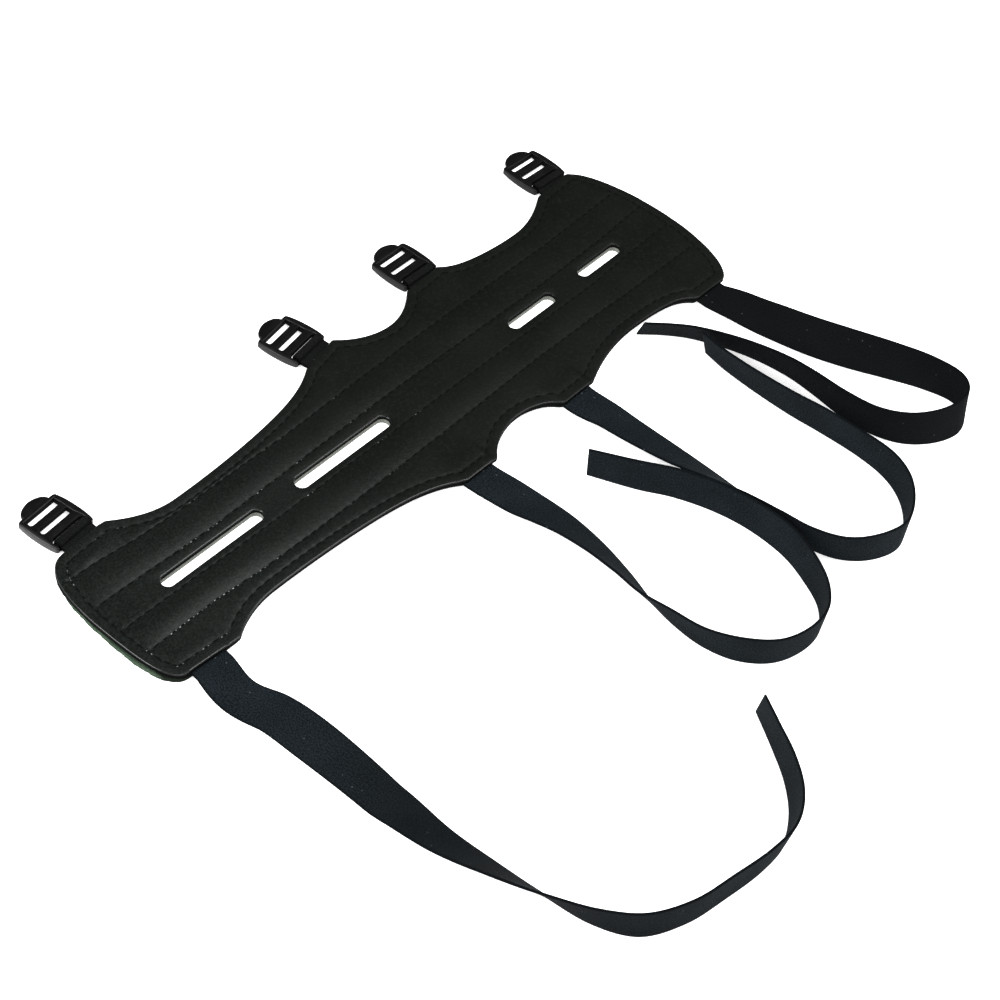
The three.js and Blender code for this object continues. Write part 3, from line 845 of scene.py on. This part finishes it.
def turn_into_place(points, place):
    """Points in a buckle's own frame, turned about the vertical and moved to the lobe's edge."""
    x, y, turn, _ = place
    c, s = math.cos(math.radians(turn)), math.sin(math.radians(turn))
    turned = points @ np.array([[c, s, 0], [-s, c, 0], [0, 0, 1]])
    return turned + np.array([x, y, 0])


def make_loop(number, place, finish):
    """The loop that holds a buckle: a band that comes out from between the layers, goes round the inner
    bar on a superellipse and goes back on itself."""
    slack = place[3]
    bar_v = slack + sum(INNER_BAR) / 2
    bar_z = (BAR_BOTTOM + BAR_TOP) / 2
    grow = LOOP_GAP + LOOP_WALL / 2
    half_v = (INNER_BAR[1] - INNER_BAR[0]) / 2 + grow
    half_z = (BAR_TOP - BAR_BOTTOM) / 2 + grow
    angle = np.linspace(-np.pi + LOOP_NECK, np.pi - LOOP_NECK, 61)
    c, s = np.cos(angle), np.sin(angle)
    scale = (np.abs(c) ** LOOP_ROUNDNESS + np.abs(s) ** LOOP_ROUNDNESS) ** (-1 / LOOP_ROUNDNESS)
    round_bar = np.stack([bar_v + half_v * c * scale, bar_z + half_z * s * scale], axis=1)
    layer = WEB_THICKNESS / 2
    start = TONGUE_STEPS - TONGUE_DEPTH
    out = np.stack([start, np.full_like(start, TONGUE_BOTTOM + layer / 2)], axis=1)
    back = np.stack([start[::-1], np.full_like(start, TONGUE_BOTTOM + 1.5 * layer)], axis=1)
    path = np.concatenate([out, round_bar, back])
    run = path_run(path)
    along = unit(np.gradient(path, run, axis=0))
    single = np.full(len(start), layer)
    wall = np.concatenate([single, np.full(len(angle), LOOP_WALL), single])
    wall = np.convolve(np.pad(wall, 3, mode="edge"), np.ones(7) / 7, mode="valid")
    nothing = np.zeros(len(path))
    base = np.stack([nothing - WEB_WIDTH / 2, path[:, 0], path[:, 1]], axis=1)
    web = np.stack([nothing + 1, nothing, nothing], axis=1)
    thick = np.stack([nothing, along[:, 1], -along[:, 0]], axis=1)
    rings, weave = ribbon(base, web, thick, run, wall, np.zeros((len(path), 3)))
    points, faces = join_shells([rings])
    points = turn_into_place(points, place)
    piece = add_piece(f"elastic_loop_{number}", points, faces, finish, {"weave": weave})
    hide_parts(f"buckle_loop_{number}")


# Buckles


def rounded_section(half_width, half_height, power):
    """A rectangle with round corners as a superellipse: two arrays of points round it."""
    angle = (np.arange(SECTION_POINTS) + 0.5) * 2 * np.pi / SECTION_POINTS
    c, s = np.cos(angle), np.sin(angle)
    scale = (np.abs(c) ** power + np.abs(s) ** power) ** (-1 / power)
    return half_width * c * scale, half_height * s * scale


def capped(rings):
    """Rings with their middles added before the first and after the last, which closes both ends."""
    first = np.broadcast_to(rings[:1].mean(axis=1, keepdims=True), rings[:1].shape)
    last = np.broadcast_to(rings[-1:].mean(axis=1, keepdims=True), rings[-1:].shape)
    return np.concatenate([first, rings, last])


def buckle_rail(sign):
    """A side rail: a rounded section from the slots' ends to the bulging outline, carried outwards along v.
    It narrows to nothing round the frame's corners, is lower at its ends and thicker beside the outer
    slots."""
    length = BUCKLE_END - BUCKLE_START
    corner = BUCKLE_CORNER * np.linspace(0, 1, 9) ** 2
    straight = np.linspace(BUCKLE_CORNER, length - BUCKLE_CORNER, 25)[1:-1]
    v = np.concatenate([corner, straight, length - corner[::-1]])
    near = np.clip(np.minimum(v, length - v) / BUCKLE_CORNER, 0, 1)
    share = np.clip((v - BUCKLE_CORNER) / (length - 2 * BUCKLE_CORNER), 0, 1)
    outer = RAIL_END + 4 * RAIL_BULGE * share * (1 - share) - BUCKLE_CORNER * (1 - np.sqrt(near)) ** 2
    inner = RAIL_INNER + (SLOT_END - RAIL_INNER) * smoothstep(BUCKLE_START + v, *BARS[0])
    centre = (inner + outer) / 2
    half = (outer - inner) / 2
    middle_z = (BUCKLE_TOP + BUCKLE_BOTTOM) / 2
    half_z = (BUCKLE_TOP - BUCKLE_BOTTOM) / 2 - 0.4 * (2 * v / length - 1) ** 4
    across, up = rounded_section(1, 1, power=5)
    u = centre[:, None] + half[:, None] * across
    z = middle_z + half_z[:, None] * up
    along = np.broadcast_to((BUCKLE_START + v)[:, None], u.shape)
    return capped(np.stack([sign * u, along, z], axis=-1))


def buckle_bar(span, low, high, fillet):
    """A cross bar: a rounded section between two values of v and two heights, carried across the frame and
    widened by the fillet, as a quarter of a circle, at the ends of the slots."""
    half_length = RAIL_INNER + BAR_OVERLAP
    u = half_length * np.sin(np.linspace(-np.pi / 2, np.pi / 2, 33))
    flare = fillet * (1 - quarter_round(SLOT_END - np.abs(u), SLOT_FILLET))
    across, up = rounded_section(1, (high - low) / 2, power=9)
    v = (span[0] + span[1]) / 2 + ((span[1] - span[0]) / 2 + flare)[:, None] * across
    z = np.broadcast_to((low + high) / 2 + up, v.shape)
    return capped(np.stack([np.broadcast_to(u[:, None], v.shape), v, z], axis=-1))


def buckle_tab():
    """The thumb tab: a half ellipse in plan, thinner towards its tip, that starts inside the end wall."""
    turn = np.concatenate([[-0.12, -0.06], np.linspace(0, np.pi / 2, 16)])
    v = BUCKLE_END + (TAB_END - BUCKLE_END) * np.sin(turn)
    half = TAB_HALF_WIDTH * np.cos(turn)
    half_z = (TAB_TOP - TAB_BOTTOM) / 2 * (1 - 0.35 * np.maximum(np.sin(turn), 0) ** 3)
    across, up = rounded_section(1, 1, power=5)
    u = half[:, None] * across
    z = (TAB_TOP + TAB_BOTTOM) / 2 + half_z[:, None] * up
    return capped(np.stack([u, np.broadcast_to(v[:, None], u.shape), z], axis=-1))


def make_buckle(number, place, finish):
    """A moulded ladder-lock buckle: two rails, three bars, an end wall and a thumb tab as one piece."""
    shells = [buckle_rail(1), buckle_rail(-1)]
    shells.append(buckle_bar(INNER_BAR, BAR_BOTTOM, BAR_TOP, fillet=0))
    shells += [buckle_bar(span, BAR_BOTTOM, BAR_TOP, SLOT_FILLET) for span in BARS]
    shells.append(buckle_bar(END_WALL, END_WALL_BOTTOM, END_WALL_TOP, fillet=0))
    shells.append(buckle_tab())
    points, faces = join_shells(shells)
    u, v, z = points.T
    between_rails = (np.abs(u) < RAIL_INNER + 0.2) & (v < BUCKLE_END - 0.3)
    inside = between_rails * (1 - smoothstep(z, *INSIDE_FADE))
    # Painted highlight on the outer flank of the rail on the -u side, strongest on the first buckle and none
    # on the last
    flank = FLANK_GLOSS_AND_HIGHLIGHT[number - 1] * smoothstep(-u, *FLANK_SPAN)
    points[:, 1] += place[3]
    layers = {"inside": inside, "flank": flank}
    piece = add_piece(f"moulded_buckle_{number}", turn_into_place(points, place), faces, finish, layers)
    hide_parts(f"buckle_{number}")


# Finishes


class Value:
    """A shader value: a socket whose operators add Math nodes."""

    def __init__(self, finish, socket):
        self.finish = finish
        self.socket = socket

    def math(self, operation, first, second):
        node = self.finish.node("ShaderNodeMath", {"operation": operation}, {0: first, 1: second})
        return Value(self.finish, node.outputs[0])

    def __add__(self, other):
        return self.math("ADD", self, other)

    def __sub__(self, other):
        return self.math("SUBTRACT", self, other)

    def __rsub__(self, other):
        return self.math("SUBTRACT", other, self)

    def __mul__(self, other):
        return self.math("MULTIPLY", self, other)

    __radd__ = __add__
    __rmul__ = __mul__


class Finish:
    """A procedural material with one Principled shader."""

    def __init__(self, name, **constants):
        self.material = bpy.data.materials.new(name)
        self.material.use_nodes = True
        self.tree = self.material.node_tree
        self.tree.nodes.clear()
        self.shader = self.principled(constants)
        surface = Value(self, self.shader.outputs["BSDF"])
        self.output = self.node("ShaderNodeOutputMaterial", {}, {"Surface": surface})
        coordinates = self.node("ShaderNodeTexCoord", {}, {})
        self.place = Value(self, coordinates.outputs["Object"])

    def node(self, kind, settings, sockets):
        """A node of a type, with its settings and then the values or links of its sockets."""
        made = self.tree.nodes.new(kind)
        for name, value in settings.items():
            setattr(made, name, value)
        for name, value in sockets.items():
            self.put(made.inputs[name], value)
        return made

    def principled(self, constants):
        """A Principled shader with constants named as its sockets, with _ for each space."""
        sockets = {name.replace("_", " "): value for name, value in constants.items()}
        return self.node("ShaderNodeBsdfPrincipled", {}, sockets)

    def put(self, socket, value):
        if isinstance(value, Value):
            self.tree.links.new(value.socket, socket)
        else:
            socket.default_value = value

    def set(self, name, value):
        self.put(self.shader.inputs[name], value)

    def layer(self, name, output):
        node = self.node("ShaderNodeAttribute", {"attribute_name": name}, {})
        return Value(self, node.outputs[output])

    def noise(self, where, scale, detail):
        node = self.node("ShaderNodeTexNoise", {}, {"Vector": where, "Scale": scale, "Detail": detail})
        return Value(self, node.outputs[0])

    def cells(self, where, scale, output="Distance"):
        node = self.node("ShaderNodeTexVoronoi", {}, {"Vector": where, "Scale": scale})
        return Value(self, node.outputs[output])

    def ramp(self, value, low, high):
        """0 below low, 1 above high, smooth between."""
        settings = {"interpolation_type": "SMOOTHSTEP"}
        node = self.node("ShaderNodeMapRange", settings, {"Value": value, "From Min": low, "From Max": high})
        return Value(self, node.outputs[0])

    def stretch(self, where, scale):
        node = self.node("ShaderNodeVectorMath", {"operation": "MULTIPLY"}, {0: where, 1: scale})
        return Value(self, node.outputs[0])

    def part(self, where, axis):
        node = self.node("ShaderNodeSeparateXYZ", {}, {0: where})
        return Value(self, node.outputs[axis])

    def sine(self, value):
        node = self.node("ShaderNodeMath", {"operation": "SINE"}, {0: value})
        return Value(self, node.outputs[0])

    def mix(self, factor, first, second):
        node = self.node("ShaderNodeMix", {"data_type": "RGBA"}, {0: factor, 6: first, 7: second})
        return Value(self, node.outputs[2])

    def cover(self, factor, **constants):
        """A second, constant Principled shader laid over the first by a factor."""
        shaders = (self.shader, self.principled(constants))
        first, over = (Value(self, shader.outputs["BSDF"]) for shader in shaders)
        mixed = self.node("ShaderNodeMixShader", {}, {0: factor, 1: first, 2: over})
        self.put(self.output.inputs["Surface"], Value(self, mixed.outputs[0]))

    def bump(self, height, depth, strength=1.0):
        node = self.node("ShaderNodeBump", {}, {"Height": height, "Distance": depth, "Strength": strength})
        self.set("Normal", Value(self, node.outputs[0]))


def leather_finish():
    """Black grained leather: pebbled cells under fine pores, soft sheen, paler scuffs over the near half
    that also stand for painted light there, burnished rims and matt cut edges."""
    finish = Finish("black_leather", Specular_IOR_Level=0.22, Coat_Roughness=0.2)
    pebbles = finish.cells(finish.place, 820.0)
    pores = finish.noise(finish.place, 2300.0, 3.0)
    cloud = finish.noise(finish.place, 38.0, 4.0)
    rim = finish.layer("rim", "Fac")
    speckle = finish.noise(finish.place, 900.0, 3.0)
    tone = finish.mix(finish.ramp(cloud, 0.3, 0.7), (0.0044, 0.0056, 0.0045, 1), (0.0064, 0.0079, 0.0065, 1))
    tone = finish.mix(finish.ramp(speckle, 0.45, 0.75), tone, (0.0088, 0.0105, 0.0088, 1))
    along = finish.part(finish.place, 0)
    scuffs = finish.ramp(finish.noise(finish.place, 1500.0, 2.0), 0.38, 0.72)
    # Paler scuff mottle kept to the near half of the guard: partly scuffs, partly painted light for the more
    # brightly lit near half
    scuffs_and_painted_light = scuffs * (1 - finish.ramp(along, -0.12, 0.02))
    finish.set("Base Color", finish.mix(scuffs_and_painted_light, tone, (0.0145, 0.0178, 0.0155, 1)))
    burnished = 1 - 0.85 * finish.ramp(along, -0.02, 0.08)
    finish.set("Roughness", 0.36 + 0.1 * cloud + 0.08 * speckle)
    finish.set("Coat Weight", 0.55 * burnished * (1 - finish.ramp(rim, 0.25, 0.7)))
    finish.bump(pebbles * 0.6 + pores * 0.5, 0.0001, 0.6)
    matt = {"Base_Color": (0.004, 0.0042, 0.0042, 1), "Roughness": 0.9, "Specular_IOR_Level": 0.06}
    finish.cover(1 - finish.ramp(rim, 0.0, 0.05), **matt)
    return finish.material


def felt_finish():
    """Dark felt: matted fibres in two directions, with painted light, a pale grey-green, on the near end
    where it peeps out towards the bright floor, and a paler grey at the walls of the slots."""
    finish = Finish("felt_lining", Specular_IOR_Level=0.1)
    long_fibres = finish.noise(finish.stretch(finish.place, (1.0, 4.0, 1.0)), 900.0, 4.0)
    cross_fibres = finish.noise(finish.stretch(finish.place, (4.0, 1.0, 1.0)), 800.0, 4.0)
    mat = long_fibres * 0.5 + cross_fibres * 0.5
    # Painted light: the felt's near end, where it peeps out from under the face, is painted a pale
    # grey-green
    lit_near_end = 1 - finish.ramp(finish.part(finish.place, 0), -0.1494, -0.1478)
    dark = finish.mix(mat, (0.008, 0.011, 0.008, 1), (0.022, 0.028, 0.022, 1))
    pale = finish.mix(finish.ramp(mat, 0.35, 0.65), (0.04, 0.062, 0.042, 1), (0.085, 0.115, 0.085, 1))
    tone = finish.mix(lit_near_end, dark, pale)
    # Paler grey at the walls of the slots
    finish.set("Base Color", finish.mix(finish.layer("cut", "Fac"), tone, (0.2, 0.21, 0.19, 1)))
    finish.set("Roughness", 0.85 + 0.12 * mat)
    finish.bump(mat, 0.0005, 0.8)
    return finish.material


def elastic_finish(name, dark, pale):
    """Knitted elastic: fine ribs along the band crossed by close courses, mottled between two tones,
    darkened to a deeper grey by painted shade along parts of each strap, with dark selvedges and specks of
    lint."""
    finish = Finish(name, Specular_IOR_Level=0.08)
    weave = finish.layer("weave", "Vector")
    along = finish.part(weave, 0)
    across = finish.part(weave, 1)
    ribs = finish.sine(across * (2 * math.pi / (RIB_PITCH * MM)))
    courses = finish.sine(along * (2 * math.pi / (COURSE_PITCH * MM)) + ribs * 0.8)
    knit = ribs * 0.25 + courses * 0.25 + 0.5
    fuzz = finish.noise(weave, 1900.0, 3.0)
    mottle = finish.noise(weave, 1800.0, 3.0)
    cloud = finish.noise(weave, 60.0, 2.0)
    speck = 1 - finish.ramp(finish.cells(weave, 230.0), 0.03, 0.09)
    chance = finish.part(finish.cells(weave, 230.0, "Color"), 0)
    shade = finish.ramp(mottle * 0.8 + cloud * 0.2, 0.33, 0.69) * 0.85 + knit * 0.15
    tone = finish.mix(shade, dark, pale)
    # Painted shade: each strap's shade share mixes its tone towards a deeper grey
    tone = finish.mix(finish.layer("painted_shade", "Fac"), tone, (0.0042, 0.0044, 0.0042, 1))
    selvedge = 1 - finish.ramp(across, 0.0002, 0.0008) + finish.ramp(across, 0.0142, 0.0148)
    tone = finish.mix(selvedge * 0.8, tone, dark)
    tone = finish.mix(speck * chance * chance, tone, (0.09, 0.105, 0.115, 1))
    finish.set("Base Color", tone)
    finish.set("Roughness", 0.8 + 0.15 * fuzz)
    finish.bump(knit * 0.7 + fuzz * 0.6, 0.00014, 0.7)
    return finish.material


def plastic_finish():
    """Black moulded plastic with a fine spark-eroded grain, scuffs that vary its gloss, a painted highlight
    with extra gloss on one outer flank, strongest on the nearest buckle, and matt insides."""
    finish = Finish("moulded_plastic", Specular_IOR_Level=0.3, Coat_Roughness=0.35)
    grain = finish.noise(finish.place, 2400.0, 2.0)
    scuff = finish.noise(finish.stretch(finish.place, (1.0, 3.0, 1.0)), 160.0, 4.0)
    tone = finish.mix(finish.ramp(scuff, 0.45, 0.7), (0.003, 0.0032, 0.0032, 1), (0.006, 0.0063, 0.0063, 1))
    flank = finish.layer("flank", "Fac")
    # Painted highlight: the flank is painted a pale grey and given a coat
    finish.set("Base Color", finish.mix(flank, tone, (0.034, 0.037, 0.033, 1)))
    finish.set("Roughness", 0.34 + 0.16 * scuff)
    finish.set("Coat Weight", flank)
    finish.bump(grain, 0.00006, 0.6)
    matt = {"Base_Color": (0.003, 0.0032, 0.0032, 1), "Roughness": 0.7, "Specular_IOR_Level": 0.08}
    finish.cover(finish.layer("inside", "Fac"), **matt)
    return finish.material


def thread_finish():
    """Waxed black thread: twisted plies, with a painted glint, a pale fleck, where some stitches enter their
    needle holes.
    """
    finish = Finish("waxed_thread", Specular_IOR_Level=0.12)
    plies = finish.noise(finish.place, 2200.0, 2.0)
    needle = finish.ramp(finish.layer("needle", "Fac"), 0.35, 0.9)
    chosen = finish.ramp(finish.layer("pick", "Fac"), 0.6, 1.15)
    tone = finish.mix(plies, (0.002, 0.0022, 0.0022, 1), (0.005, 0.0052, 0.0052, 1))
    # Painted glint: a pale fleck at the needle ends of the chosen stitches
    tone = finish.mix(needle * chosen, tone, (0.36, 0.37, 0.37, 1))
    finish.set("Base Color", tone)
    finish.set("Roughness", 0.5 + 0.2 * plies)
    finish.bump(plies, 0.0001, 0.7)
    return finish.material


def floor_finish():
    """Pale matt studio floor with a barely seen mottle."""
    finish = Finish("studio_floor", Specular_IOR_Level=0.1, Emission_Strength=0.5)
    mottle = finish.noise(finish.place, 14.0, 3.0)
    finish.set("Base Color", finish.mix(mottle, (0.9, 0.9, 0.9, 1), (0.94, 0.94, 0.94, 1)))
    finish.set("Roughness", 0.9 + 0.05 * mottle)
    return finish.material


# Stage


def add_floor():
    """A wide flat floor just under the guard: a square of four corners."""
    plan = np.array([(-1, -1), (1, -1), (1, 1), (-1, 1)]) * FLOOR_REACH
    corners = np.column_stack([plan, np.full(len(plan), FLOOR_LEVEL)])
    mesh = bpy.data.meshes.new("floor")
    mesh.from_pydata((corners * MM).tolist(), [], [(0, 1, 2, 3)])
    mesh.materials.append(floor_finish())
    floor = bpy.data.objects.new("floor", mesh)
    bpy.context.scene.collection.objects.link(floor)


def add_softbox(name, place, size, power):
    """A square soft light at a place, turned to the origin."""
    light = bpy.data.lights.new(name, "AREA")
    light.shape = "SQUARE"
    light.size = size
    light.energy = power
    lamp = bpy.data.objects.new(name, light)
    lamp.location = place
    lamp.rotation_euler = (-Vector(place)).to_track_quat("-Z", "Y").to_euler()
    bpy.context.scene.collection.objects.link(lamp)


def add_sky(strength):
    """Even white light from all round."""
    world = bpy.data.worlds.new("studio")
    world.use_nodes = True
    background = world.node_tree.nodes["Background"]
    background.inputs["Color"].default_value = (1, 1, 1, 1)
    background.inputs["Strength"].default_value = strength
    bpy.context.scene.world = world


def add_camera():
    """The photograph's camera: yaw about the vertical, pitch down, then roll about the line of sight."""
    cy, sy = math.cos(CAMERA_YAW), math.sin(CAMERA_YAW)
    cp, sp = math.cos(CAMERA_PITCH), math.sin(CAMERA_PITCH)
    cr, sr = math.cos(CAMERA_ROLL), math.sin(CAMERA_ROLL)
    ahead = np.array([sy * cp, cy * cp, -sp])
    right = np.array([cy, -sy, 0])
    up = np.cross(right, ahead)
    turned_right = cr * right + sr * up
    turned_up = cr * up - sr * right
    camera = bpy.data.cameras.new("camera")
    camera.lens = CAMERA_LENS
    camera.sensor_width = CAMERA_FRAME
    camera.clip_start = 0.01
    camera.clip_end = 50
    holder = bpy.data.objects.new("camera", camera)
    place = np.array(CAMERA_PLACE) * MM
    rows = np.column_stack([turned_right, turned_up, -ahead, place])
    holder.matrix_world = Matrix([*rows.tolist(), [0, 0, 0, 1]])
    bpy.context.scene.collection.objects.link(holder)
    bpy.context.scene.camera = holder


add_camera()
add_floor()
add_sky(SKY_STRENGTH)
for light in LIGHTS:
    add_softbox(*light)
bpy.context.scene.view_settings.view_transform = "Standard"
bpy.context.scene.view_settings.gamma = VIEW_GAMMA

make_face(leather_finish())
make_backing(felt_finish())
make_stitches(thread_finish())
strap_elastic = elastic_finish("strap_elastic", (0.0034, 0.0048, 0.006, 1), (0.021, 0.028, 0.0335, 1))
loop_elastic = elastic_finish("loop_elastic", (0.0034, 0.0036, 0.0036, 1), (0.015, 0.016, 0.0155, 1))
plastic = plastic_finish()
for number, strap in enumerate(STRAPS, 1):
    make_strap(number, strap, strap_elastic)
for number, place in enumerate(BUCKLES, 1):
    make_buckle(number, place, plastic)
    make_loop(number, place, loop_elastic)
